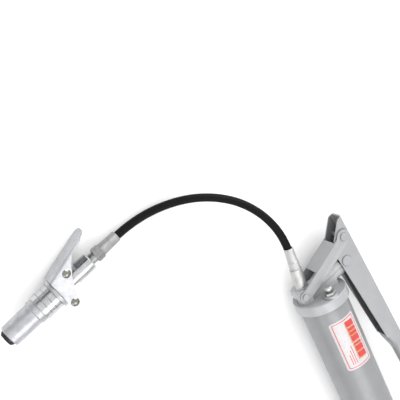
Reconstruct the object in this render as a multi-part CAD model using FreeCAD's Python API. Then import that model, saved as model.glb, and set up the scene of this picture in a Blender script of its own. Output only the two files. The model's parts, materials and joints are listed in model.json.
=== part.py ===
"""Lever grease gun with a whip hose and a lock-on coupler, lying on its side.

Working frame: the origin is the centre of the cap's front face, +X runs along the barrel
to the tail, +Y points from the barrel to the lever, and +Z is up.  The lever, the link and
the pump all move in the plane Z = 0.  The finished parts are shifted so that the origin is
the middle of the gun's footprint on the surface that it lies on.
"""

import math
import os

import FreeCAD
import Part

os.makedirs("parts", exist_ok=True)

V = FreeCAD.Vector
UP = V(0, 0, 1)
TAILWARD = V(1, 0, 0)

# ---------------------------------------------------------------- driving dimensions (mm)
CAP_R = 32.0                    # screw cap of the head casting
CAP_LENGTH = 12.3
CAP_PLATE = 4.0                 # thickness of the cap's front plate
BARREL_R = 28.5                 # outside of the cartridge barrel
BARREL_WALL = 0.9
BARREL_END = 255.0
THREAD_R = 28.2                 # the barrel's threaded end, inside the cap
THREAD_END = 13.3
GASKET = 1.5

LINK_FOOT = V(-9.4, -20.4, 0)   # rivet that joins the link to the head
LEVER_PIVOT = V(-48.8, 49.1, 0)  # rivet that joins the lever to the link
PUMP_PIN = V(-20.8, 42.1, 0)    # pin that joins the lever to the plunger
PUMP_LEAN = 14.0                # the pump leans this many degrees towards the outlet

LEVER_HALF = 11.05              # half of the lever channel's outside width
LEVER_SHEET = 1.75
LEVER_SLOPE = 4.8               # slope of the lever's back, in degrees
LEVER_FOLD = 4.6                # outside radius of the channel's folds
LEVER_NECK = 90.0               # where the channel turns into the round handle
HANDLE_R = 8.0
HANDLE_END = 236.0
LINK_HALF = 13.4
LINK_SHEET = 1.6
LINK_FOLD = 1.4

PLUNGER_R = 4.75
PUMP_HOUSING_R = 8.5
PUMP_FACE = 8.0                 # from the pump pin down to the housing's mouth
PLUNGER_LENGTH = 40.0
SLOP_R = 4.35                   # the lever's hole for the pump pin, wide because the pin
SLOP_OFFSET = 1.35              # moves in it as the lever swings

OUTLET_ANGLE = 175.0            # direction of the outlet, in degrees from +X
OUTLET_FACE = V(-14.0, -16.0, 0)
ADAPTER_LENGTH = 26.0
ADAPTER_R = 7.5                 # foot of the adapter that screws into the head
FERRULE_LENGTH = 25.6
HOSE_R = 4.6

COUPLER_ROLL = 6.0              # degrees by which the thumb lever's side is turned up
LEVER_SIDE = 14.2               # half of the thumb lever's outside width
THUMB_SHEET = 1.5
THUMB_FOLD = 2.6
TAB_HALF = 12.6                 # half of the thumb tab's width near its tip
THUMB_HINGE = V(77.0, 16.4, 0)  # in the coupler's own frame
THUMB_CAM = V(64.3, -12.0, 0)

FIT = 0.06                      # radial clearance of a running fit
GAP = 0.3                       # gap between pieces that pass each other

# Hand-laid route of the hose, from inside its head ferrule to inside its coupler ferrule.
HOSE_ROUTE = [
    V(-48.0, -13.0, 0.0),
    V(-66.0, -11.5, 0.0),
    V(-89.9, -12.9, -1.2),
    V(-114.0, -21.1, -4.0),
    V(-135.0, -35.1, -8.2),
    V(-151.0, -53.6, -13.0),
    V(-162.5, -75.3, -17.8),
    V(-169.1, -98.3, -22.0),
    V(-171.8, -122.5, -25.2),
    V(-170.8, -146.4, -26.5),
    V(-167.03, -169.70, -23.70),
    V(-164.10, -182.25, -22.05),
]
COUPLER_START = HOSE_ROUTE[-2]


# ---------------------------------------------------------------- shape helpers
def polar(length, degrees):
    """A vector in the plane Z = 0."""
    angle = math.radians(degrees)
    return V(length * math.cos(angle), length * math.sin(angle), 0)


def rod(radius, start, end):
    return Part.makeCylinder(radius, (end - start).Length, start, end - start)


def ring(outer, inner, start, end):
    reach = (end - start).normalize()
    return rod(outer, start, end).cut(rod(inner, start - reach, end + reach))


def along_x(radius, x0, x1, y=0.0, z=0.0):
    return rod(radius, V(x0, y, z), V(x1, y, z))


def ring_x(outer, inner, x0, x1, y=0.0, z=0.0):
    return ring(outer, inner, V(x0, y, z), V(x1, y, z))


def post(radius, centre, z0, z1):
    """A cylinder that stands along Z."""
    return rod(radius, V(centre.x, centre.y, z0), V(centre.x, centre.y, z1))


def plate(points, z0, z1):
    """A flat polygon, given in the plane Z = 0, from z0 to z1."""
    corners = [V(p.x, p.y, z0) for p in points]
    return Part.Face(Part.makePolygon(corners + corners[:1])).extrude(V(0, 0, z1 - z0))


def box(low, high):
    size = high - low
    return Part.makeBox(size.x, size.y, size.z, low)


def hexagon(across_flats, x0, x1, y=0.0, z=0.0):
    """A hexagonal prism along X."""
    corner = across_flats / math.sqrt(3)
    points = []
    for k in range(7):
        angle = math.radians(60 * k + 30)
        points.append(V(x0, y + corner * math.cos(angle), z + corner * math.sin(angle)))
    return Part.Face(Part.makePolygon(points)).extrude(V(x1 - x0, 0, 0))


def turned(profile):
    """Revolve a closed outline of (x, radius) pairs about the X axis."""
    points = [V(x, radius, 0) for x, radius in profile]
    return Part.Face(Part.makePolygon(points + points[:1])).revolve(V(0, 0, 0), TAILWARD, 360)


def rivet_head(radius, height, centre, z_seat, side):
    """A low domed head that sits on the face at z_seat and rises towards side (+1 or -1)."""
    seat = V(centre.x, centre.y, z_seat)
    top = seat + V(0, 0, side * height)
    head = rod(radius, seat, top)
    rim = [edge for edge in head.Edges if abs(edge.CenterOfMass.z - top.z) < 1e-6]
    return head.makeFillet(0.55 * height, rim)


def rivet(shank_radius, head_radius, head_height, centre, half_grip):
    """A through rivet along Z, with a head at each end."""
    body = post(shank_radius, centre, -half_grip, half_grip)
    for side in (1, -1):
        body = body.fuse(rivet_head(head_radius, head_height, centre, side * half_grip, side))
    return body.removeSplitter()


def domed_rivet(shank_radius, head_radius, head_height, centre, half_grip):
    """A through rivet along Z whose heads are parts of a ball."""
    ball_r = (head_radius ** 2 + head_height ** 2) / (2 * head_height)
    body = post(shank_radius, centre, -half_grip, half_grip)
    for side in (1, -1):
        ball_z = side * (half_grip + head_height - ball_r)
        low, high = sorted((side * half_grip, side * (half_grip + head_height)))
        ball = Part.makeSphere(ball_r, V(centre.x, centre.y, ball_z))
        body = body.fuse(ball.common(post(head_radius, centre, low, high)))
    return body.removeSplitter()


def edges_along(shape, direction, keep):
    """Straight edges of shape that run along direction and pass the test keep(midpoint)."""
    found = []
    for edge in shape.Edges:
        if not isinstance(edge.Curve, Part.Line):
            continue
        parallel = abs(edge.tangentAt(edge.FirstParameter).dot(direction)) > 0.999
        if parallel and keep(edge.CenterOfMass):
            found.append(edge)
    return found


def rounded_section(x, y, half_y, half_z, radius):
    """A rounded rectangle in a plane across X, centred on (x, y, 0)."""
    wire_points = []
    corners = [(1, 1, 0), (-1, 1, 90), (-1, -1, 180), (1, -1, 270)]
    for sy, sz, start in corners:
        cy = y + sy * (half_y - radius)
        cz = sz * (half_z - radius)
        arc = [math.radians(start + turn) for turn in (0, 45, 90)]
        wire_points.append([V(x, cy + radius * math.cos(a), cz + radius * math.sin(a)) for a in arc])
    edges = []
    for index, (first, middle, last) in enumerate(wire_points):
        following = wire_points[(index + 1) % 4][0]
        edges.append(Part.Arc(first, middle, last).toShape())
        edges.append(Part.LineSegment(last, following).toShape())
    return Part.Wire(edges)


def coil(mean_radius, wire_radius, x0, x1, turns):
    """A coil spring along X whose outermost wire surfaces are at x0 and x1."""
    length = x1 - x0 - 2 * wire_radius
    helix = Part.makeHelix(length / turns, length, mean_radius)
    start = V(mean_radius, 0, 0)
    tangent = V(0, 2 * math.pi * mean_radius * turns, length)
    section = Part.Wire(Part.Circle(start, tangent, wire_radius).toShape())
    spring = Part.Wire(helix.Edges).makePipeShell([section], True, True)
    spring.rotate(V(0, 0, 0), V(0, 1, 0), 90)
    spring.translate(V(x0 + wire_radius, 0, 0))
    return spring


def smooth_path(points):
    """Straight runs joined by tangent arcs, each as large as its two runs allow."""
    edges = []
    radii = []
    here = points[0]
    for before, corner, after in zip(points, points[1:], points[2:]):
        back = (before - corner).normalize()
        ahead = (after - corner).normalize()
        half_turn = (math.pi - back.getAngle(ahead)) / 2
        reach = 0.45 * min((before - corner).Length, (after - corner).Length)
        radius = reach / math.tan(half_turn)
        middle_ray = (back + ahead).normalize()
        middle = corner + middle_ray * (radius / math.cos(half_turn) - radius)
        arc_start = corner + back * reach
        arc_end = corner + ahead * reach
        edges.append(Part.LineSegment(here, arc_start).toShape())
        edges.append(Part.Arc(arc_start, middle, arc_end).toShape())
        radii.append(radius)
        here = arc_end
    edges.append(Part.LineSegment(here, points[-1]).toShape())
    return Part.Wire(edges), radii


# ---------------------------------------------------------------- derived lines and points
PUMP_UP = polar(1, 90 + PUMP_LEAN)                     # the way the plunger leaves
PUMP_ACROSS = polar(1, PUMP_LEAN)                      # towards the tail, across the pump
LINK_UP = (LEVER_PIVOT - LINK_FOOT).normalize()
LINK_OUT = UP.cross(LINK_UP)                           # towards the link's web
LINK_LENGTH = (LEVER_PIVOT - LINK_FOOT).Length
OUTLET_OUT = polar(1, OUTLET_ANGLE)
COUPLER_ALONG = (HOSE_ROUTE[-1] - HOSE_ROUTE[-2]).normalize()
LEVER_ALONG = polar(1, LEVER_SLOPE)
BACK_START = V(-72.0, 57.6, 0)                         # lever's tip, on its back


def on_pump(up, across=0.0):
    return PUMP_PIN + PUMP_UP * up + PUMP_ACROSS * across


def on_link(up, out):
    return LINK_FOOT + LINK_UP * up + LINK_OUT * out


def on_outlet(distance):
    return OUTLET_FACE + OUTLET_OUT * distance


def on_back(x, inset=0.0):
    """The point of the lever's back at x, moved inset towards the barrel."""
    along = (x - BACK_START.x) / LEVER_ALONG.x
    return BACK_START + LEVER_ALONG * along + polar(inset, LEVER_SLOPE - 90)


def on_front(x):
    """The free edge of the lever's flanges, which faces the barrel."""
    return V(x, 37.5 + 0.149 * x, 0)


# ---------------------------------------------------------------- head and barrel
BLEEDER_Y = 4.0
BLEEDER_Z = 22.6
BORE_BOTTOM = -(PLUNGER_LENGTH + 2.0)
RIB_ACROSS = 6.5                # the pump housing is thickened towards the tail
BALL_R = 2.0
BALL_SEAT = -10.5               # along the outlet


def head_casting():
    cap = along_x(CAP_R, 0, CAP_LENGTH)
    rims = [edge for edge in cap.Edges if isinstance(edge.Curve, Part.Circle)]
    cap = cap.makeFillet(1.3, rims)
    body = cap.cut(along_x(BARREL_R + GAP, CAP_PLATE, CAP_LENGTH + 1))

    pump_top = -PUMP_FACE
    pump_base = -54.0
    body = body.fuse(rod(PUMP_HOUSING_R, on_pump(pump_base), on_pump(pump_top)))
    rib_r = PUMP_HOUSING_R - 1
    body = body.fuse(rod(rib_r, on_pump(-44, RIB_ACROSS), on_pump(pump_top, RIB_ACROSS)))
    rib = [on_pump(pump_base), on_pump(pump_top), on_pump(pump_top, RIB_ACROSS),
           on_pump(-44, RIB_ACROSS)]
    body = body.fuse(plate(rib, -rib_r, rib_r))
    foot = [V(-15, 24, 0), V(1, 24, 0), V(1, -26, 0), V(-12, -12, 0)]
    body = body.fuse(plate(foot, -rib_r, rib_r))

    ear_half = LINK_HALF - LINK_SHEET - GAP
    ear = [V(LINK_FOOT.x, LINK_FOOT.y - 7, 0), V(-4, LINK_FOOT.y - 6, 0), V(1, LINK_FOOT.y - 3, 0),
           V(1, -12, 0), V(-13, -12, 0)]
    body = body.fuse(post(7.0, LINK_FOOT, -ear_half, ear_half))
    body = body.fuse(plate(ear, -ear_half, ear_half))
    body = body.fuse(rod(9.6, on_outlet(0), on_outlet(-15.5)))
    pad = along_x(8.4, -2.6, 1, BLEEDER_Y, BLEEDER_Z)
    pad = pad.common(along_x(CAP_R - 0.6, -3, 1))
    body = body.fuse(pad).removeSplitter()

    bores = [
        rod(PLUNGER_R + FIT, on_pump(BORE_BOTTOM), on_pump(1)),
        rod(6.6, on_pump(pump_top - 4), on_pump(pump_top + 1)),
        rod(1.4, on_outlet(-14.5), on_pump(BORE_BOTTOM + 1)),
        rod(1.4, on_outlet(-14.5), on_outlet(BALL_SEAT)),
        rod(BALL_R + 0.2, on_outlet(BALL_SEAT), on_outlet(-5)),
        rod(4.8, on_outlet(-5.5), on_outlet(1)),
        rod(ADAPTER_R + GAP, on_outlet(0), on_outlet(6)),
        along_x(2.5, on_pump(-32).x, CAP_PLATE + 1, on_pump(-32).y),
        along_x(3.4, -3, CAP_PLATE + 1, BLEEDER_Y, BLEEDER_Z),
    ]
    for side in (1, -1):
        bores.append(post(2.5, LINK_FOOT, side * 7.2, side * 12))
    for bore in bores:
        body = body.cut(bore)
    return body


def plunger_seal():
    return ring(6.6, PLUNGER_R + FIT, on_pump(-PUMP_FACE - 4), on_pump(-PUMP_FACE))


def link_pins():
    """Two short rivets, one in each side of the head, so that the outlet passes between."""
    pins = []
    seat = LINK_HALF + 0.15
    for side in (1, -1):
        shank = post(2.5, LINK_FOOT, side * 7.2, side * seat)
        pins.append(shank.fuse(rivet_head(4.1, 1.7, LINK_FOOT, side * seat, side)).removeSplitter())
    return Part.makeCompound(pins)


def check_ball():
    return Part.makeSphere(BALL_R, on_outlet(BALL_SEAT + BALL_R + 0.2))


def check_spring():
    spring = coil(1.5, 0.3, 0, 3.0, 3)
    spring.rotate(V(0, 0, 0), UP, OUTLET_ANGLE)
    spring.translate(on_outlet(-6.2))
    return spring


def bleeder_body():
    base_x = -2.6
    body = hexagon(12.0, base_x - 3.2, base_x, BLEEDER_Y, BLEEDER_Z)
    body = body.fuse(along_x(3.4, base_x, CAP_PLATE, BLEEDER_Y, BLEEDER_Z))
    body = body.cut(along_x(2.0, base_x - 4, 1.5, BLEEDER_Y, BLEEDER_Z))
    return body.cut(along_x(0.8, 1, CAP_PLATE + 1, BLEEDER_Y, BLEEDER_Z))


def bleeder_stem():
    """A push button on a thin stem."""
    top = -12.2
    knob = along_x(4.7, top, top + 3.3, BLEEDER_Y, BLEEDER_Z)
    rim = [edge for edge in knob.Edges if abs(edge.CenterOfMass.x - top) < 1e-6]
    knob = knob.makeFillet(1.2, rim)
    return knob.fuse(along_x(2.0 - FIT, top + 3, -2.4, BLEEDER_Y, BLEEDER_Z)).removeSplitter()


def bleeder_spring():
    spring = coil(1.5, 0.25, -2.3, 1.4, 4)
    spring.translate(V(0, BLEEDER_Y, BLEEDER_Z))
    return spring


def head_gasket():
    return ring_x(BARREL_R, 24.0, CAP_PLATE, CAP_PLATE + GASKET)


def barrel_tube():
    inside = BARREL_R - BARREL_WALL
    thread = ring_x(THREAD_R, inside, CAP_PLATE + GASKET, THREAD_END)
    return thread.fuse(ring_x(BARREL_R, inside, THREAD_END, BARREL_END))


def tail_cap():
    inside = BARREL_R - BARREL_WALL
    outline = [
        (BARREL_END - 9, inside), (BARREL_END, inside), (BARREL_END, inside - 3),
        (BARREL_END - 3, inside - 5), (BARREL_END - 3, 9), (BARREL_END, 7.5),
        (BARREL_END, 4 + FIT), (BARREL_END - 6, 4 + FIT), (BARREL_END - 6, inside - 1.5),
        (BARREL_END - 9, inside - 1.5),
    ]
    return turned(outline)


LABEL_SPAN = (50.0, 121.0)      # degrees round the barrel, from +Y towards +Z
LABEL_X = (28.0, 92.0)
LABEL_THICKNESS = 0.05


def label():
    """A thin sticker bent round the barrel, with rounded corners."""
    x0, x1 = LABEL_X
    sleeve = ring_x(BARREL_R + LABEL_THICKNESS, BARREL_R, x0, x1)
    middle = math.radians(sum(LABEL_SPAN) / 2)
    half_width = BARREL_R * math.sin(math.radians(LABEL_SPAN[1] - LABEL_SPAN[0]) / 2)
    cutter = box(V(x0, -half_width, 0), V(x1, half_width, BARREL_R + 5))
    cutter = cutter.makeFillet(3.0, edges_along(cutter, UP, lambda point: True))
    cutter.rotate(V(0, 0, 0), TAILWARD, math.degrees(middle) - 90)
    return sleeve.common(cutter)


# ---------------------------------------------------------------- follower
ROD_R = 4.0
ROD_START = 7.0
TEE_X = BARREL_END + 12.5
CUP_START = 13.7
CUP_END = 23.5


def follower_rod():
    return along_x(ROD_R, ROD_START, TEE_X - 4.0)


def rod_handle():
    hub = along_x(6.5, BARREL_END + 4, TEE_X + 2).fuse(Part.makeSphere(6.5, V(TEE_X, 0, 0)))
    hub = hub.cut(along_x(ROD_R, 0, TEE_X - 4.0))
    bar = rod(4.4, V(TEE_X, -20, 0), V(TEE_X, 20, 0))
    for side in (1, -1):
        bar = bar.fuse(Part.makeSphere(4.4, V(TEE_X, side * 20, 0)))
    return hub.fuse(bar).removeSplitter()


def follower_cup():
    inside = BARREL_R - BARREL_WALL - GAP
    outline = [
        (CUP_START, ROD_R), (CUP_START, inside - 4), (CUP_START - 4, inside - 1.2),
        (CUP_START - 4, inside), (CUP_END, inside), (CUP_END, inside - 3),
        (CUP_END - 5, inside - 4), (CUP_END - 5, 14), (CUP_END, 13.5), (CUP_END, ROD_R),
    ]
    return turned(outline)


def follower_washers():
    front = ring_x(15.0, ROD_R, CUP_START - 1.5, CUP_START)
    back = ring_x(13.5, ROD_R, CUP_END, CUP_END + 1.5)
    return Part.makeCompound([front, back])


def follower_nut():
    nut = hexagon(13.0, ROD_START + 0.5, CUP_START - 1.5)
    return nut.cut(along_x(ROD_R, 0, CUP_END))


def follower_spring():
    return coil(11.0, 1.1, CUP_END + 1.5, BARREL_END - 6.0, 13)


# ---------------------------------------------------------------- lever, link and plunger
def lever_outline():
    return [
        on_back(BACK_START.x + 0.8), V(-68.3, 51.0, 0), V(-47.6, 36.8, 0), V(-44.3, 36.7, 0),
        on_front(-40.8), on_front(LEVER_NECK + 3), on_back(LEVER_NECK + 3),
    ]


def lever_handle():
    """The neck that narrows from the channel to the round handle, and the handle's tube."""
    start = (LEVER_NECK + 1.5 - BACK_START.x) / LEVER_ALONG.x
    end = (HANDLE_END - BACK_START.x) / LEVER_ALONG.x
    neck = []
    for along, half_y, half_z, radius in [
            (0, 9.6, 10.9, LEVER_FOLD - 0.1), (9, 9.1, 10.4, 5.0), (17, 8.3, 8.9, 6.4),
            (25, HANDLE_R, HANDLE_R, HANDLE_R - 0.4)]:
        neck.append(rounded_section(start + along, -0.15 - half_y, half_y, half_z, radius))
    tube = Part.Face(neck[-1]).extrude(V(end - start - 25, 0, 0))
    handle = Part.makeLoft(neck, True).fuse(tube)
    middle = -0.15 - HANDLE_R
    handle = handle.cut(along_x(HANDLE_R - LEVER_SHEET, start + 45, end + 1, middle))
    handle.rotate(V(0, 0, 0), UP, LEVER_SLOPE)
    handle.translate(BACK_START)
    return handle


def lever():
    """One pressed sheet: a deep channel whose tail end is drawn into a round handle."""
    body = plate(lever_outline(), -LEVER_HALF, LEVER_HALF)
    back_edges = edges_along(body, LEVER_ALONG, lambda point: point.y > on_back(point.x, 1).y)
    body = body.makeFillet(LEVER_FOLD, back_edges)
    room = [
        on_back(BACK_START.x - 5, LEVER_SHEET), on_back(LEVER_NECK, LEVER_SHEET),
        V(LEVER_NECK, 20, 0), V(BACK_START.x - 5, 20, 0),
    ]
    inner = LEVER_HALF - LEVER_SHEET
    hollow = plate(room, -inner, inner)
    hollow_edges = edges_along(hollow, LEVER_ALONG, lambda point: True)
    body = body.cut(hollow.makeFillet(LEVER_FOLD - LEVER_SHEET, hollow_edges))

    body = body.fuse(lever_handle())
    body = body.cut(post(3.0 + FIT, LEVER_PIVOT, -20, 20))
    return body.cut(post(SLOP_R, PUMP_PIN - V(SLOP_OFFSET, 0, 0), -20, 20))


def lever_end_plug():
    end = on_back(HANDLE_END, HANDLE_R + 0.15)
    plug = rod(HANDLE_R - LEVER_SHEET, end - LEVER_ALONG * 12, end)
    flange = rod(HANDLE_R, end, end + LEVER_ALONG * 2.5)
    outer = [edge for edge in flange.Edges
             if abs((edge.CenterOfMass - end).dot(LEVER_ALONG) - 2.5) < 1e-6]
    return plug.fuse(flange.makeFillet(1.2, outer)).removeSplitter()


def link():
    """A folded strap: two cheeks joined by a web on the side away from the barrel."""
    cheek = [
        on_link(0, 5.6), on_link(14, 5.0), on_link(72, 5.0), on_link(LINK_LENGTH + 1, 8.2),
        on_link(LINK_LENGTH - 1, -8.2), on_link(46, -8.5), on_link(0, -6.2),
    ]
    inner = LINK_HALF - LINK_SHEET
    body = None
    for side in (1, -1):
        low, high = sorted((side * inner, side * LINK_HALF))
        one = plate(cheek, low, high)
        one = one.fuse(post(6.2, LINK_FOOT, low, high))
        one = one.fuse(post(8.2, LEVER_PIVOT, low, high))
        body = one if body is None else body.fuse(one)
    web = [on_link(29, 3.4), on_link(29, 5.0), on_link(67.5, 5.0), on_link(67.5, 3.4)]
    body = body.fuse(plate(web, -LINK_HALF, LINK_HALF)).removeSplitter()
    face = on_link(0, 5.0).dot(LINK_OUT)
    folds = edges_along(body, LINK_UP, lambda point: abs(point.dot(LINK_OUT) - face) < 0.01
                        and abs(abs(point.z) - LINK_HALF) < 0.01)
    body = body.makeFillet(LINK_FOLD, folds)
    body = body.cut(post(2.5 + FIT, LINK_FOOT, -20, 20))
    return body.cut(post(3.0, LEVER_PIVOT, -20, 20))


def lever_pin():
    return rivet(3.0, 4.6, 1.7, LEVER_PIVOT, LINK_HALF)


def plunger():
    body = rod(PLUNGER_R, on_pump(-PLUNGER_LENGTH), on_pump(0))
    eye_half = LEVER_HALF - LEVER_SHEET - 0.4
    body = body.fuse(post(6.3, PUMP_PIN, -eye_half, eye_half)).removeSplitter()
    return body.cut(post(2.8, PUMP_PIN, -20, 20))


def plunger_pin():
    return rivet(2.8, 5.9, 1.5, PUMP_PIN, LEVER_HALF + 0.2)


# ---------------------------------------------------------------- hose and its head fitting
def outlet_adapter():
    body = rod(ADAPTER_R, on_outlet(0), on_outlet(3))
    body = body.fuse(rod(ADAPTER_R - 0.5, on_outlet(3), on_outlet(ADAPTER_LENGTH)))
    body = body.fuse(rod(4.8, on_outlet(-5.5), on_outlet(0)))
    body = body.cut(rod(1.8, on_outlet(-6), on_outlet(ADAPTER_LENGTH + 1)))
    return body.cut(rod(2.6, on_outlet(-6), on_outlet(-3.2))).removeSplitter()


def head_ferrule():
    start = on_outlet(ADAPTER_LENGTH)
    shoulder = rod(6.3, start, start + OUTLET_OUT * 9)
    cone = Part.makeCone(6.0, 5.5, FERRULE_LENGTH, start, OUTLET_OUT)
    bore = rod(HOSE_R, HOSE_ROUTE[0], HOSE_ROUTE[1] + OUTLET_OUT)
    return shoulder.fuse(cone).cut(bore).removeSplitter()


def hose():
    path, radii = smooth_path(HOSE_ROUTE)
    first = (HOSE_ROUTE[1] - HOSE_ROUTE[0]).normalize()
    section = Part.Wire(Part.Circle(HOSE_ROUTE[0], first, HOSE_R).toShape())
    tube = path.makePipeShell([section], True, False)
    expected = math.pi * HOSE_R ** 2 * path.Length
    print("hose: length %.1f, volume / expected %.4f" % (path.Length, tube.Volume / expected))
    print("hose: arc radii", [round(radius) for radius in radii])
    return tube


# ---------------------------------------------------------------- lock-on coupler
# The coupler is built along +X from the hose's end, with the thumb lever on the -Y side.
HOSE_DEPTH = 13.0
FERRULE_R = 6.7
HEX_X = (22.0, 31.0)
BODY_X = (37.0, 82.8)
BODY_R = 9.7
NOSE_R = 8.0
LUG_HALF = 7.5                  # the lug that carries the thumb lever's hinge
PORT_R = 1.6                    # the grease's way through the coupler
FLANGE_R = 17.1
COLLAR_X = (86.4, 106.3)
COLLAR_R = 14.7
SLEEVE_END = 145.4
SLEEVE_R = 12.0
CHAMBER_R = 11.0                # room for the spring inside the sleeve
CHAMBER_X = (109.0, 131.0)
JAW_X = (112.0, 149.6)
JAW_R = 9.0
SPIGOT_R = 4.0


def placed(shape):
    across = UP.cross(COUPLER_ALONG).normalize()
    turn = FreeCAD.Rotation(COUPLER_ALONG, across, V(0, 0, 0), "XYZ")
    turn = turn.multiply(FreeCAD.Rotation(TAILWARD, -COUPLER_ROLL))
    shape.Placement = FreeCAD.Placement(COUPLER_START, turn).multiply(shape.Placement)
    return shape


def coupler_ferrule():
    body = turned([(0, 5.7), (0.6, 6.1), (HEX_X[0], FERRULE_R), (HEX_X[0], 0), (0, 0)])
    return placed(body.cut(along_x(HOSE_R, -1, HOSE_DEPTH)))


def hose_hex():
    """The swivel nut, and the tail by which it screws into the coupler."""
    body = hexagon(14.2, HEX_X[0], HEX_X[1])
    dome = turned([(HEX_X[0], 0), (HEX_X[0], 7.2), (HEX_X[0] + 1.0, 8.1),
                   (HEX_X[1] - 1.0, 8.1), (HEX_X[1], 7.2), (HEX_X[1], 0)])
    body = body.common(dome).fuse(along_x(5.8, HEX_X[1], BODY_X[0]))
    body = body.fuse(along_x(4.5, BODY_X[0], BODY_X[0] + 8)).removeSplitter()
    return placed(body.cut(along_x(PORT_R, HEX_X[0] + 2, BODY_X[0] + 9)))


def coupler_body():
    outline = [
        (BODY_X[0], 0), (BODY_X[0], 8.2), (BODY_X[0] + 1.6, BODY_R), (BODY_X[1], BODY_R),
        (BODY_X[1], NOSE_R), (CHAMBER_X[0] - 1, NOSE_R), (CHAMBER_X[0] - 1, SPIGOT_R - FIT),
        (JAW_X[0] + 7.5, SPIGOT_R - FIT), (JAW_X[0] + 7.5, 0),
    ]
    body = turned(outline)
    lug = [V(60.5, 5, 0), V(61, 11.0, 0), V(68.5, 11.4, 0), V(72, 18, 0), V(81.6, 18, 0),
           V(82.0, 5, 0)]
    body = body.fuse(plate(lug, -LUG_HALF, LUG_HALF))
    body = body.fuse(post(5.0, THUMB_HINGE, -LUG_HALF, LUG_HALF))
    body = body.removeSplitter()
    body = body.cut(box(V(53, -20, -20), V(71, -5.6, 20)))
    body = body.cut(post(2.5 + FIT, THUMB_HINGE, -20, 20))
    body = body.cut(along_x(4.5, BODY_X[0] - 1, BODY_X[0] + 8))
    return placed(body.cut(along_x(PORT_R, BODY_X[0], JAW_X[0] + 9)))


def coupler_flange():
    return placed(ring_x(FLANGE_R, NOSE_R, BODY_X[1], COLLAR_X[0]))


def coupler_collar():
    """A collar with two grooves, which make three grip rings of it."""
    x0, x1 = COLLAR_X
    body = ring_x(COLLAR_R, NOSE_R, x0, x1)
    rims = [edge for edge in body.Edges if isinstance(edge.Curve, Part.Circle)
            and edge.Curve.Radius > NOSE_R + 1]
    body = body.makeFillet(0.5, rims)
    for step in (1, 2):
        middle = x0 + step * (x1 - x0) / 3
        body = body.cut(ring_x(COLLAR_R + 1, COLLAR_R - 0.9, middle - 0.35, middle + 0.35))
    return placed(body)


def coupler_sleeve():
    start = COLLAR_X[1]
    outline = [
        (start, NOSE_R), (start, 13.4), (start + 6.0, 13.4), (start + 7.2, SLEEVE_R + 0.2),
        (SLEEVE_END - 1.0, SLEEVE_R), (SLEEVE_END, SLEEVE_R - 0.8), (SLEEVE_END, JAW_R + FIT),
        (CHAMBER_X[1], JAW_R + FIT), (CHAMBER_X[1], CHAMBER_R), (CHAMBER_X[0], CHAMBER_R),
        (CHAMBER_X[0], NOSE_R),
    ]
    return placed(turned(outline))


def coupler_spring():
    return placed(coil(9.7, 1.0, JAW_X[0] + 3, CHAMBER_X[1], 5))


def coupler_jaws():
    """Four gripping fingers that spring from one ring, which slides on the body's spigot."""
    rear, tip = JAW_X
    seal_end = rear + 17
    outline = [
        (rear, SPIGOT_R), (rear, CHAMBER_R - 0.3), (rear + 3, CHAMBER_R - 0.3), (rear + 3, 7.6),
        (rear + 19.4, 7.6), (rear + 19.4, JAW_R), (tip - 2.5, JAW_R), (tip, 7.4), (tip, 4.6),
        (tip - 1.3, 3.3), (tip - 7.3, 3.3), (tip - 9.5, 6.0), (seal_end, 6.0), (seal_end, 6.4),
        (rear + 8, 6.4), (rear + 8, SPIGOT_R),
    ]
    jaws = turned(outline)
    for quarter in range(2):
        slot = box(V(rear + 20, -0.5, -20), V(tip + 1, 0.5, 20))
        slot.rotate(V(0, 0, 0), TAILWARD, 45 + 90 * quarter)
        jaws = jaws.cut(slot)
    return placed(jaws)


def coupler_seal():
    start = JAW_X[0] + 8
    return placed(turned([(start, PORT_R), (start, 6.4), (start + 9, 6.4), (start + 9, 3.2),
                          (start + 6, PORT_R)]))


def thumb_lever():
    """A pressed channel: two cheeks that straddle the body, and a long tab for the thumb."""
    web_start = V(82.2, -16.4, 0)
    web_end = V(23.2, -33.0, 0)
    along = (web_end - web_start).normalize()
    inward = UP.cross(along) * -1

    # From the side: the web, deep cheeks, and low rims along the tab.
    side = [
        web_start, V(82.2, 15.5, 0), V(73.2, 19.0, 0), V(69.6, 9.4, 0), V(62.5, -4.8, 0),
        V(54.6, -16.0, 0), V(46.8, -23.6, 0), web_end + inward * 3.0, web_end,
    ]
    body = plate(side, -LEVER_SIDE, LEVER_SIDE)
    body = body.fuse(post(4.8, THUMB_HINGE, -LEVER_SIDE, LEVER_SIDE))
    outer_folds = edges_along(body, along,
                              lambda point: abs((point - web_start).dot(inward)) < 0.01)
    body = body.makeFillet(THUMB_FOLD, outer_folds)
    inner = LEVER_SIDE - THUMB_SHEET
    floor = [web_start + inward * THUMB_SHEET - along * 30, web_end + inward * THUMB_SHEET + along * 5]
    room = floor + [floor[1] + inward * 60, floor[0] + inward * 60]
    hollow = plate(room, -inner, inner)
    inner_folds = edges_along(hollow, along,
                              lambda point: (point - web_start).dot(inward) < THUMB_SHEET + 1)
    body = body.cut(hollow.makeFillet(THUMB_FOLD - THUMB_SHEET, inner_folds))

    # Seen from the thumb's side, the tab narrows a little and ends round.
    tip = web_end.x
    one_side = [V(90, LEVER_SIDE, 0), V(44, LEVER_SIDE, 0), V(tip + 8, TAB_HALF, 0),
                V(tip + 3.6, TAB_HALF - 1.4, 0), V(tip + 1.0, TAB_HALF - 4.4, 0),
                V(tip, TAB_HALF - 8.6, 0)]
    other_side = [V(point.x, -point.y, 0) for point in reversed(one_side)]
    plan = plate(one_side + other_side, -60, 60)
    plan.rotate(V(0, 0, 0), TAILWARD, 90)
    body = body.common(plan)
    for centre in (THUMB_HINGE, THUMB_CAM):
        body = body.cut(post(2.5, centre, -20, 20))
    return placed(body)


def thumb_pins():
    pins = [domed_rivet(2.5, 4.5, 1.6, centre, LEVER_SIDE) for centre in (THUMB_HINGE, THUMB_CAM)]
    return placed(Part.makeCompound(pins))


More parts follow.
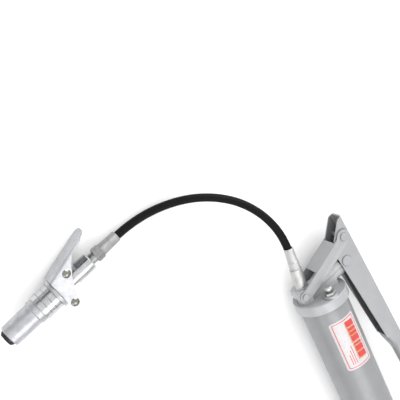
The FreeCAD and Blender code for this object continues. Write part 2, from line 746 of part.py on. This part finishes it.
# ---------------------------------------------------------------- export
GUN_NODES = [
    head_casting, plunger_seal, link_pins, check_ball, check_spring, outlet_adapter,
    bleeder_body, bleeder_stem, bleeder_spring, head_gasket, barrel_tube, tail_cap, label,
    follower_rod, rod_handle, follower_cup, follower_washers, follower_nut, follower_spring,
    lever, lever_end_plug, link, lever_pin, plunger, plunger_pin,
]
HOSE_NODES = [
    head_ferrule, hose, coupler_ferrule, hose_hex, coupler_body, coupler_flange,
    coupler_collar, coupler_sleeve, coupler_spring, coupler_jaws, coupler_seal, thumb_lever,
    thumb_pins,
]


def main():
    shapes = {make.__name__: make() for make in GUN_NODES + HOSE_NODES}
    gun = Part.makeCompound([shapes[make.__name__] for make in GUN_NODES])
    bounds = gun.optimalBoundingBox(False)
    shift = V(-bounds.Center.x, -bounds.Center.y, -bounds.ZMin)
    print("shift to the footprint's middle: %.3f %.3f %.3f" % tuple(shift))
    for name, shape in shapes.items():
        shape.translate(shift)
        if not shape.isValid():
            print("not valid:", name)
        print("%-18s solids %d  volume %.0f" % (name, len(shape.Solids), shape.Volume))
        shape.exportStep("parts/%s.step" % name)


main()
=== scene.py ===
"""Lever grease gun on a pale floor: hose, label, fittings and materials over the CAD frame."""

import json
import math

import bmesh
import bpy
from mathutils import Matrix, Vector


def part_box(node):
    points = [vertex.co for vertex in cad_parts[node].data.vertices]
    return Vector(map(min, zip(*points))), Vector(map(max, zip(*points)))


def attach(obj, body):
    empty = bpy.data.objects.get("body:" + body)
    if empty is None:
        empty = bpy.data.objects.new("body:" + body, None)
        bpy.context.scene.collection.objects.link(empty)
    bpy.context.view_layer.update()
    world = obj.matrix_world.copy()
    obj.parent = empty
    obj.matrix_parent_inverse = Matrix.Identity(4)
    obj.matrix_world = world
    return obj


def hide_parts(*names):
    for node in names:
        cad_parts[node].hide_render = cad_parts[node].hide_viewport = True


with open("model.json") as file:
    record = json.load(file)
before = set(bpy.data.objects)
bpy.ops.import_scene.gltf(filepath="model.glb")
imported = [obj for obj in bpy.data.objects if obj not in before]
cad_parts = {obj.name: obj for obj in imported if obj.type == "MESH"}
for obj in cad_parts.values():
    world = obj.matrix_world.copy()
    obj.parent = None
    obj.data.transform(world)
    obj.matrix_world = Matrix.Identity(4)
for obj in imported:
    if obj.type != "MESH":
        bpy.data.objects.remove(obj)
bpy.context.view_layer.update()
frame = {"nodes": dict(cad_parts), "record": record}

MM = 0.001
NODES = frame["nodes"]

# The working frame of part.py: the centre of the cap's front face, in the row frame.
BARREL_LOW, BARREL_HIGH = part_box("barrel_tube")
BARREL_R = 0.0285
BARREL_END = 0.255
GUN = Vector((
    BARREL_HIGH[0] - BARREL_END,
    (BARREL_LOW[1] + BARREL_HIGH[1]) / 2,
    (BARREL_LOW[2] + BARREL_HIGH[2]) / 2,
))

# The lever's pressed channel, in the same frame: a point on its back, the way its open side
# faces, the sheet's thickness, the depth of its sides, half of the width between them, and how
# far down the barrel it is still a channel.
LEVER_BACK = Vector((-0.072, 0.0576, 0))
LEVER_TILT = math.radians(4.8)
LEVER_INWARD = Vector((math.sin(LEVER_TILT), -math.cos(LEVER_TILT), 0))
LEVER_SHEET = 0.00175
LEVER_DEPTH = 0.0226
LEVER_INNER_HALF = 0.0093
LEVER_NECK = 0.088

# The hose's middle line, from inside the head's ferrule to inside the coupler's.
HOSE_DIAMETER = 0.0092
HOSE_ROUTE = [
    (-0.0480, -0.0130, 0.0),
    (-0.0660, -0.0115, 0.0),
    (-0.0899, -0.0129, -0.0012),
    (-0.1140, -0.0211, -0.0040),
    (-0.1350, -0.0351, -0.0082),
    (-0.1510, -0.0536, -0.0130),
    (-0.1625, -0.0753, -0.0178),
    (-0.1691, -0.0983, -0.0220),
    (-0.1718, -0.1225, -0.0252),
    (-0.1708, -0.1464, -0.0265),
    (-0.16703, -0.16970, -0.02370),
    (-0.16410, -0.18225, -0.02205),
]

# The coupler's own frame: +X from the hose's end to the jaws, +Y away from the thumb tab.
COUPLER_ROLL = math.radians(6)


def coupler_frame():
    """The coupler's own frame, with its origin at the hose's end."""
    start, inside = (GUN + Vector(point) for point in HOSE_ROUTE[-2:])
    along = (inside - start).normalized()
    across = Vector((0, 0, 1)).cross(along).normalized()
    turn = Matrix((along, across, along.cross(across))).transposed().to_4x4()
    return Matrix.Translation(start) @ turn @ Matrix.Rotation(-COUPLER_ROLL, 4, "X")


COUPLER = coupler_frame()
OUTLET = (Vector(HOSE_ROUTE[1]) - Vector(HOSE_ROUTE[0])).normalized()
RIDGE_PITCH = 0.0011            # between the fine ridges that a crimping tool leaves


# ---------------------------------------------------------------- materials
class Graph:
    """A short way to build a material's node tree."""

    def __init__(self, name):
        self.material = bpy.data.materials.new(name)
        self.material.use_nodes = True
        self.tree = self.material.node_tree
        self.shader = self.tree.nodes["Principled BSDF"]
        self.place = self.tree.nodes.new("ShaderNodeTexCoord").outputs["Object"]

    def node(self, kind, **inputs):
        made = self.tree.nodes.new(kind)
        for key, value in inputs.items():
            self.feed(made.inputs[key.replace("_", " ")], value)
        return made

    def feed(self, socket, value):
        if isinstance(value, bpy.types.NodeSocket):
            self.tree.links.new(value, socket)
        else:
            socket.default_value = value

    def noise(self, scale, detail=3.0, roughness=0.5):
        texture = self.node("ShaderNodeTexNoise", Vector=self.place,
                            Scale=scale, Detail=detail, Roughness=roughness)
        return texture.outputs["Fac"]

    def spread(self, value, low, high, start=0.3, end=0.7):
        """Map a texture's start..end to low..high."""
        ranged = self.node("ShaderNodeMapRange", Value=value)
        ranged.inputs["From Min"].default_value = start
        ranged.inputs["From Max"].default_value = end
        ranged.inputs["To Min"].default_value = low
        ranged.inputs["To Max"].default_value = high
        return ranged.outputs["Result"]

    def mix(self, factor, first, second):
        blend = self.tree.nodes.new("ShaderNodeMix")
        blend.data_type = "RGBA"
        self.feed(blend.inputs[0], factor)
        self.feed(blend.inputs[6], first)
        self.feed(blend.inputs[7], second)
        return blend.outputs[2]

    def math(self, operation, first, second=0.0, third=0.0):
        made = self.tree.nodes.new("ShaderNodeMath")
        made.operation = operation
        for socket, value in zip(made.inputs, (first, second, third)):
            self.feed(socket, value)
        return made.outputs["Value"]

    def along(self, origin, direction):
        """Distance in metres from origin along direction, in the row frame at rest."""
        offset = self.tree.nodes.new("ShaderNodeVectorMath")
        offset.operation = "SUBTRACT"
        self.feed(offset.inputs[0], self.place)
        self.feed(offset.inputs[1], tuple(origin))
        product = self.tree.nodes.new("ShaderNodeVectorMath")
        product.operation = "DOT_PRODUCT"
        self.feed(product.inputs[0], offset.outputs["Vector"])
        self.feed(product.inputs[1], tuple(direction))
        return product.outputs["Value"]

    def between(self, value, low, high, soft):
        """1 where value lies between low and high, 0 outside, fading over soft at each edge."""
        rise = self.spread(value, 0.0, 1.0, low - soft, low + soft)
        fall = self.spread(value, 1.0, 0.0, high - soft, high + soft)
        return self.math("MULTIPLY", rise, fall)

    def bump(self, height, strength, distance):
        """Add a bump on top of those added before."""
        made = self.node("ShaderNodeBump", Height=height, Strength=strength, Distance=distance)
        normal = self.shader.inputs["Normal"]
        if normal.links:
            self.tree.links.new(normal.links[0].from_socket, made.inputs["Normal"])
        self.tree.links.new(made.outputs["Normal"], normal)

    def edge_wear(self, low=0.53, high=0.60):
        """1 on convex edges, 0 elsewhere, broken up by noise."""
        sharp = self.node("ShaderNodeNewGeometry").outputs["Pointiness"]
        edge = self.spread(sharp, 0.0, 1.0, low, high)
        broken = self.spread(self.noise(900, 4), 0.0, 1.0, 0.40, 0.62)
        return self.math("MULTIPLY", edge, broken)

    def hollows(self, depth=0.008):
        """1 in tight corners and under pieces, where the colour is darkened as painted shade."""
        shade = self.node("ShaderNodeAmbientOcclusion", Distance=depth)
        shade.samples = 6
        return self.spread(shade.outputs["AO"], 1.0, 0.0, 0.25, 0.85)

    def surface(self, color=None, roughness=None, metallic=0.0, **others):
        if color is not None:
            self.feed(self.shader.inputs["Base Color"], color)
        if roughness is not None:
            self.feed(self.shader.inputs["Roughness"], roughness)
        self.shader.inputs["Metallic"].default_value = metallic
        for key, value in others.items():
            self.shader.inputs[key.replace("_", " ")].default_value = value
        return self.material


def grey(value, tint=0.0):
    """A grey, made bluer by a positive tint and warmer by a negative one."""
    return (value * (1 - tint / 2), value, value * (1 + 2 * tint), 1)


def paint(name, level, cast=False, shaded=None):
    """Silver-grey sprayed enamel with a faint orange peel, over cast or pressed metal.

    shaded, if given, makes from the graph a mask of the faces that never see daylight, which are
    darkened there as painted shade."""
    graph = Graph(name)
    tone = graph.spread(graph.noise(45, 4), 0.0, 1.0)
    color = graph.mix(tone, grey(level * 0.95, 0.018), grey(level * 1.04, 0.018))
    flake = graph.spread(graph.noise(5200, 2), 0.0, 1.0, 0.60, 0.72)
    color = graph.mix(flake, color, grey(level * 1.18, 0.01))
    # Painted shade: tight corners and faces under other pieces are darkened.
    corner_shade = graph.math("MULTIPLY", graph.hollows(), 0.40)
    color = graph.mix(corner_shade, color, grey(level * 0.42, 0.0))
    color = graph.mix(graph.edge_wear(), color, grey(level * 1.22, 0.0))
    if shaded is not None:
        # Painted shade: the masked faces are darkened nearly to black.
        color = graph.mix(shaded(graph), color, grey(0.035))
    graph.bump(graph.noise(800 if cast else 1500, 3, 0.6), 0.20 if cast else 0.10, 0.0002)
    if cast:
        graph.bump(graph.noise(150, 4, 0.6), 0.25, 0.0006)
    rough = graph.spread(graph.noise(120, 3), 0.33, 0.45)
    return graph.surface(color, rough, metallic=0.2, Coat_Weight=0.10, Coat_Roughness=0.25)


FACE_MARGIN = 0.00005           # keeps a mask just clear of the faces beside it
MASK_EDGE = 0.00006


def lever_channel_shade(graph):
    """The inner faces of the lever's channel, where the paint is darkened nearly to black as painted
    shade.
    """
    back = graph.along(GUN + LEVER_BACK, LEVER_INWARD)
    height = graph.math("ABSOLUTE", graph.along(GUN, (0, 0, 1)))
    tail = graph.along(GUN, (1, 0, 0))
    across = graph.between(height, -1.0, LEVER_INNER_HALF + FACE_MARGIN, MASK_EDGE)
    deep = graph.between(back, LEVER_SHEET - FACE_MARGIN, LEVER_DEPTH, MASK_EDGE)
    channel = graph.math("MULTIPLY", across, deep)
    # The painted shade is weaker towards the lever's tip and stops at the neck.
    strength = graph.spread(tail, 0.50, 0.88, -0.040, -0.028)
    painted_shade = graph.math("MULTIPLY", strength, graph.between(tail, -1.0, LEVER_NECK, 0.004))
    return graph.math("MULTIPLY", channel, painted_shade)


def plated(name, level, rough_low, rough_high, tint=0.0, ridges=None):
    """Zinc or chrome plate with fine polishing marks, faint smears and painted shade in its hollows.

    ridges, if given, is the axis of a crimped ferrule, along which its fine ridges repeat."""
    graph = Graph(name)
    smear = graph.spread(graph.noise(140, 5), 0.0, 1.0)
    color = graph.mix(smear, grey(level * 0.82, tint), grey(level * 1.04, tint))
    spot = graph.spread(graph.noise(620, 4, 0.7), 0.0, 0.5, 0.62, 0.76)
    color = graph.mix(spot, color, grey(level * 0.72, 0.0))
    # Painted shade: tight corners and faces under other pieces are darkened.
    hollow_shade = graph.math("MULTIPLY", graph.hollows(0.004), 0.55)
    color = graph.mix(hollow_shade, color, grey(level * 0.30, 0.0))
    if ridges is not None:
        turns = graph.math("MULTIPLY", graph.along(GUN, ridges), 2 * math.pi / RIDGE_PITCH)
        graph.bump(graph.math("SINE", turns), 0.9, 0.00012)
    graph.bump(graph.noise(2600, 3, 0.6), 0.06, 0.0001)
    rough = graph.spread(graph.noise(420, 4), rough_low, rough_high)
    return graph.surface(color, rough, metallic=1.0)


def hose_cover(name):
    """Black rubber with the faint weave of the cloth that it was cured in."""
    graph = Graph(name)
    tone = graph.spread(graph.noise(160, 4), 0.0, 1.0)
    color = graph.mix(tone, grey(0.002), grey(0.004))
    chalk = graph.spread(graph.noise(700, 5, 0.7), 0.0, 0.30, 0.58, 0.75)
    color = graph.mix(chalk, color, grey(0.018))
    weave = graph.tree.nodes.new("ShaderNodeTexWave")
    weave.wave_type = "BANDS"
    weave.bands_direction = "DIAGONAL"
    graph.feed(weave.inputs["Vector"], graph.place)
    graph.feed(weave.inputs["Scale"], 320.0)
    graph.feed(weave.inputs["Distortion"], 1.5)
    graph.bump(weave.outputs["Fac"], 0.18, 0.0002)
    graph.bump(graph.noise(2400, 3), 0.12, 0.0002)
    rough = graph.spread(graph.noise(300, 3), 0.42, 0.58)
    return graph.surface(color, rough, Specular_IOR_Level=0.12)


def black_rubber(name, level, rough):
    """Moulded rubber or dipped vinyl."""
    graph = Graph(name)
    tone = graph.spread(graph.noise(160, 4), 0.0, 1.0)
    color = graph.mix(tone, grey(level * 0.8), grey(level * 1.5))
    graph.bump(graph.noise(2400, 3), 0.12, 0.0002)
    roughness = graph.spread(graph.noise(300, 3), rough - 0.06, rough + 0.10)
    return graph.surface(color, roughness, Specular_IOR_Level=0.45)


def blackened_steel(name):
    """Hardened steel with a black oxide finish, worn bright at its edges."""
    graph = Graph(name)
    color = graph.mix(graph.edge_wear(0.52, 0.57), grey(0.018), grey(0.20))
    graph.bump(graph.noise(1800, 3), 0.10, 0.0001)
    rough = graph.spread(graph.noise(500, 3), 0.28, 0.42)
    return graph.surface(color, rough, metallic=0.8)


def film(name, color):
    """Printed sticker film."""
    graph = Graph(name)
    deep = tuple(channel * 0.90 for channel in color[:3]) + (1,)
    tone = graph.spread(graph.noise(260, 3), 0.0, 1.0)
    graph.bump(graph.noise(900, 2), 0.05, 0.0001)
    roughness = graph.spread(graph.noise(200, 3), 0.25, 0.38)
    return graph.surface(graph.mix(tone, deep, color), roughness, Coat_Weight=0.3)


MATERIALS = {
    "head_paint": paint("head_paint", 0.355, cast=True),
    "sheet_paint": paint("sheet_paint", 0.305, shaded=lever_channel_shade),
    "barrel_paint": paint("barrel_paint", 0.240),
    "zinc": plated("zinc", 0.52, 0.42, 0.58, tint=-0.004),
    "bright_zinc": plated("bright_zinc", 0.48, 0.30, 0.52, tint=0.022),
    "chrome": plated("chrome", 0.52, 0.14, 0.26, tint=0.010),
    "steel": plated("steel", 0.50, 0.16, 0.28, tint=-0.05),
    "domed_steel": plated("domed_steel", 0.24, 0.12, 0.22, tint=-0.05),
    "dark_zinc": plated("dark_zinc", 0.33, 0.26, 0.40),
    "crimp": plated("crimp", 0.36, 0.34, 0.48, ridges=COUPLER.col[0].xyz),
    "head_crimp": plated("head_crimp", 0.58, 0.42, 0.58, ridges=OUTLET),
    "spring_steel": plated("spring_steel", 0.35, 0.30, 0.45),
    "blackened": blackened_steel("blackened"),
    "hose_rubber": hose_cover("hose_rubber"),
    "seal_rubber": black_rubber("seal_rubber", 0.02, 0.5),
    "vinyl": black_rubber("vinyl", 0.015, 0.35),
    "sticker": film("sticker", (0.53, 0.50, 0.507, 1)),
    "print_red": film("print_red", (0.52, 0.036, 0.042, 1)),
    "print_yellow": film("print_yellow", (0.78, 0.42, 0.05, 1)),
    "print_dark": film("print_dark", (0.10, 0.07, 0.05, 1)),
}


# ---------------------------------------------------------------- CAD nodes
# The width in mm to which each node's hard edges are rounded.
SOFTENED = {
    "head_casting": 0.5, "lever": 0.35, "link": 0.4, "outlet_adapter": 0.4, "bleeder_body": 0.3,
    "coupler_body": 0.4, "coupler_flange": 0.3, "thumb_lever": 0.35, "hose_hex": 0.3,
    "tail_cap": 0.3, "rod_handle": 0.3, "barrel_tube": 0.15, "coupler_jaws": 0.25,
    "follower_nut": 0.2, "follower_washers": 0.2, "head_ferrule": 0.3, "coupler_sleeve": 0.3,
    "coupler_collar": 0.12, "coupler_ferrule": 0.2,
}


WELD_DISTANCE = 1e-6
FLAT_ANGLE = math.radians(0.6)  # below this, two facets belong to one flat face
EDGE_ANGLE = math.radians(38)   # above this, an edge is a hard one


def soften(node, width):
    """Round the hard edges of a CAD node, as its real edges are rounded."""
    weld = node.modifiers.new("join", "WELD")
    weld.merge_threshold = WELD_DISTANCE
    flat = node.modifiers.new("flat", "DECIMATE")
    flat.decimate_type = "DISSOLVE"
    flat.angle_limit = FLAT_ANGLE
    bevel = node.modifiers.new("round", "BEVEL")
    bevel.width = width * MM
    bevel.segments = 3
    bevel.limit_method = "ANGLE"
    bevel.angle_limit = EDGE_ANGLE
    bevel.use_clamp_overlap = True
    bevel.harden_normals = False
    for polygon in node.data.polygons:
        polygon.use_smooth = True
    node.modifiers.new("normals", "WEIGHTED_NORMAL").keep_sharp = True


# Nodes whose finish differs from the rest of their slot.
FINISH = {"bleeder_stem": "zinc", "head_ferrule": "head_crimp", "coupler_ferrule": "crimp",
          "hose_hex": "dark_zinc"}


def dress_nodes():
    """Give every CAD node its material and its rounded edges."""
    slots = {part["node"]: part["material_slot"] for part in frame["record"]["subparts"]}
    for name, node in NODES.items():
        node.data.materials.clear()
        node.data.materials.append(MATERIALS[FINISH.get(name, slots[name])])
        if name in SOFTENED:
            soften(node, SOFTENED[name])


# ---------------------------------------------------------------- new pieces
def add_mesh(name, mesh_builder, material, body):
    """Turn a bmesh into a smooth piece that rides on a body."""
    mesh = bpy.data.meshes.new(name)
    mesh_builder.to_mesh(mesh)
    mesh_builder.free()
    for polygon in mesh.polygons:
        polygon.use_smooth = True
    piece = bpy.data.objects.new(name, mesh)
    bpy.context.scene.collection.objects.link(piece)
    mesh.materials.append(MATERIALS[material])
    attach(piece, body)
    return piece


def add_hose():
    """The rubber hose: one spline on the same points as the CAD's hose."""
    curve = bpy.data.curves.new("hose_line", "CURVE")
    curve.dimensions = "3D"
    spline = curve.splines.new("NURBS")
    spline.points.add(len(HOSE_ROUTE) - 1)
    for point, place in zip(spline.points, HOSE_ROUTE):
        point.co = (*(GUN + Vector(place)), 1)
    spline.order_u = 3
    spline.use_endpoint_u = True
    spline.resolution_u = 12
    curve.bevel_depth = HOSE_DIAMETER / 2
    curve.bevel_resolution = 8
    curve.use_fill_caps = True
    piece = bpy.data.objects.new("whip_hose", curve)
    bpy.context.scene.collection.objects.link(piece)
    curve.materials.append(MATERIALS["hose_rubber"])
    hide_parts("hose")
    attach(piece, "gun")


# The label's artwork lies in (x, s), both in mm: x along the barrel from the cap, s round the
# barrel from the middle of the label towards the lever.
LABEL_X = (28.0, 92.0)
LABEL_MIDDLE = math.radians(85.5)
LABEL_HALF = 17.0
FRAME_INSET = 2.0
FRAME_LINE = 0.9
STRIP = 0.8                     # the width of the strips that bend a patch round the barrel
BARS = [(33.0, 7.4), (41.9, 4.2), (47.3, 4.2), (52.7, 7.0), (61.5, 3.2), (66.0, 7.0), (74.3, 7.4)]
BAR_SPAN = (0.6, 12.2)
BAR_LEAN = 1.6
BAR_INKS = [(0.9, 0.11, "print_dark"), (0.5, 0.13, "print_yellow"), (0.0, 0.15, "print_red")]
RULES = [(62, 86), (67, 86), (72, 86)]
RULE_TOP = -3.6
RULE_STEP = 2.6
RULE_HALF = 0.45
RULE_LEAN = 0.2
# The height of each layer above the barrel, so that none shares a surface with another.
FRAME_LIFT = 0.07
FIELD_LIFT = 0.09
RULE_LIFT = 0.11


def wrapped(name, outline, lift, material):
    """A printed patch: a flat outline cut into strips and bent round the barrel."""
    mesh = bmesh.new()
    corners = [mesh.verts.new((x, s, 0)) for x, s in outline]
    mesh.faces.new(corners)
    low = min(s for _, s in outline)
    high = max(s for _, s in outline)
    cuts = int((high - low) / STRIP)
    for cut in range(1, cuts + 1):
        at = low + (high - low) * cut / (cuts + 1)
        geometry = mesh.verts[:] + mesh.edges[:] + mesh.faces[:]
        bmesh.ops.bisect_plane(mesh, geom=geometry, plane_co=(0, at, 0), plane_no=(0, 1, 0))
    radius = BARREL_R + lift * MM
    for vertex in mesh.verts:
        x, s, _ = vertex.co
        angle = LABEL_MIDDLE - s * MM / BARREL_R
        vertex.co = GUN + Vector((x * MM, radius * math.cos(angle), radius * math.sin(angle)))
    bmesh.ops.triangulate(mesh, faces=mesh.faces)
    bmesh.ops.recalc_face_normals(mesh, faces=mesh.faces)
    first = mesh.faces[:][0]
    if first.normal.dot(first.calc_center_median() - GUN) < 0:
        bmesh.ops.reverse_faces(mesh, faces=mesh.faces)
    return add_mesh(name, mesh, material, "gun")


def rounded_rectangle(x0, x1, s0, s1, radius):
    steps = 6
    points = []
    for cx, cs, start in [(x1 - radius, s1 - radius, 0), (x0 + radius, s1 - radius, 90),
                          (x0 + radius, s0 + radius, 180), (x1 - radius, s0 + radius, 270)]:
        for step in range(steps + 1):
            angle = math.radians(start + 90 * step / steps)
            points.append((cx + radius * math.cos(angle), cs + radius * math.sin(angle)))
    return points


def slanted_bar(x0, x1, s0, s1, lean):
    """A parallelogram whose far side is moved by lean along the barrel."""
    return [(x0, s0), (x1, s0), (x1 + lean, s1), (x0 + lean, s1)]


def inset_outline(inset, radius):
    """The label's outline, moved inwards."""
    x0, x1 = LABEL_X
    return rounded_rectangle(x0 + inset, x1 - inset, inset - LABEL_HALF, LABEL_HALF - inset, radius)


def add_label_art():
    """A made-up mark: a thin red frame, a row of slanted bars and three rules."""
    wrapped("label_frame", inset_outline(FRAME_INSET, 2.0), FRAME_LIFT, "print_red")
    wrapped("label_field", inset_outline(FRAME_INSET + FRAME_LINE, 1.6), FIELD_LIFT, "sticker")
    for number, (start, width) in enumerate(BARS):
        for shift, lift, ink in BAR_INKS:
            low, high = (s - shift for s in BAR_SPAN)
            bar = slanted_bar(start + shift, start + width + shift, low, high, BAR_LEAN)
            wrapped("label_bar_%d_%s" % (number, ink[6:]), bar, lift, ink)
    for number, (start, end) in enumerate(RULES):
        middle = RULE_TOP - RULE_STEP * number
        rule = slanted_bar(start, end, middle - RULE_HALF, middle + RULE_HALF, RULE_LEAN)
        wrapped("label_rule_%d" % number, rule, RULE_LIFT, "print_red")


# ---------------------------------------------------------------- floor, light and camera
FLOOR_SIZE = 40.0               # so wide that no low view shows its edge


def add_floor():
    """A plain, pale, matt floor."""
    mesh = bmesh.new()
    bmesh.ops.create_grid(mesh, x_segments=2, y_segments=2, size=FLOOR_SIZE)
    data = bpy.data.meshes.new("floor")
    mesh.to_mesh(data)
    mesh.free()
    floor = bpy.data.objects.new("floor", data)
    bpy.context.scene.collection.objects.link(floor)
    graph = Graph("floor")
    tone = graph.spread(graph.noise(3, 2), 0.0, 1.0)
    color = graph.mix(tone, grey(0.90), grey(0.93))
    data.materials.append(graph.surface(color, 0.9))


LIGHTS_AIM = (-0.05, 0, 0)
# name, place, size in metres and power in watts
LIGHTS = [
    ("overhead", (0.70, -0.12, 1.20), (0.9, 0.9), 6.5),
    ("side", (0.5, -1.1, 0.9), (0.6, 0.6), 2.0),
    ("front", (-1.1, 0.85, 0.8), (1.3, 1.0), 17.0),
]


def add_light(name, place, size, power):
    data = bpy.data.lights.new(name, "AREA")
    data.shape = "RECTANGLE"
    data.size, data.size_y = size
    data.energy = power
    light = bpy.data.objects.new(name, data)
    light.location = place
    light.rotation_euler = (Vector(LIGHTS_AIM) - Vector(place)).to_track_quat("-Z", "Y").to_euler()
    bpy.context.scene.collection.objects.link(light)


# The tent's brightness at the floor and overhead, and the gap's direction, edge and brightness.
TENT_LOW = 0.58
TENT_HIGH = 1.22
GAP_AIM = (-0.86, 0.12, 0.50)
GAP_EDGE = (0.925, 0.965)
GAP_LEVEL = 0.02


def add_world():
    """A light tent: white above, grey towards the floor, with a dark gap in front of the gun."""
    world = bpy.data.worlds.new("studio")
    world.use_nodes = True
    tree = world.node_tree
    direction = tree.nodes.new("ShaderNodeTexCoord").outputs["Generated"]

    def ranged(value, start, end, low, high):
        made = tree.nodes.new("ShaderNodeMapRange")
        made.interpolation_type = "SMOOTHSTEP"
        tree.links.new(value, made.inputs["Value"])
        for key, number in [("From Min", start), ("From Max", end), ("To Min", low), ("To Max", high)]:
            made.inputs[key].default_value = number
        return made.outputs["Result"]

    def towards(aim):
        made = tree.nodes.new("ShaderNodeVectorMath")
        made.operation = "DOT_PRODUCT"
        tree.links.new(direction, made.inputs[0])
        made.inputs[1].default_value = Vector(aim).normalized()
        return made.outputs["Value"]

    tent = ranged(towards((0, 0, 1)), 0.02, 0.45, TENT_LOW, TENT_HIGH)
    gap = ranged(towards(GAP_AIM), GAP_EDGE[0], GAP_EDGE[1], 1.0, GAP_LEVEL)
    both = tree.nodes.new("ShaderNodeMath")
    both.operation = "MULTIPLY"
    tree.links.new(tent, both.inputs[0])
    tree.links.new(gap, both.inputs[1])
    tree.links.new(both.outputs["Value"], tree.nodes["Background"].inputs["Color"])
    bpy.context.scene.world = world


def add_lights():
    """The tent and three soft lamps."""
    add_world()
    for light in LIGHTS:
        add_light(*light)
    bpy.context.scene.view_settings.view_transform = "Standard"


# Where the camera stands, the way it looks, its roll about that line and its angle of view.
VIEW_FROM = GUN + Vector((-0.3218, -0.2054, 0.5937))
VIEW_ALONG = Vector((0.253, 0.204, -0.946))
VIEW_ROLL = 113.6
VIEW_ANGLE = 36.87


def add_camera():
    """The main camera, looking down on the gun from in front of its head."""
    data = bpy.data.cameras.new("camera")
    data.angle = math.radians(VIEW_ANGLE)
    data.clip_start = 0.01
    camera = bpy.data.objects.new("camera", data)
    turn = VIEW_ALONG.to_track_quat("-Z", "Y").to_matrix()
    turn = turn @ Matrix.Rotation(math.radians(VIEW_ROLL), 3, "Z")
    camera.matrix_world = Matrix.Translation(VIEW_FROM) @ turn.to_4x4()
    bpy.context.scene.collection.objects.link(camera)
    bpy.context.scene.camera = camera


dress_nodes()
add_hose()
add_label_art()
add_floor()
add_lights()
add_camera()
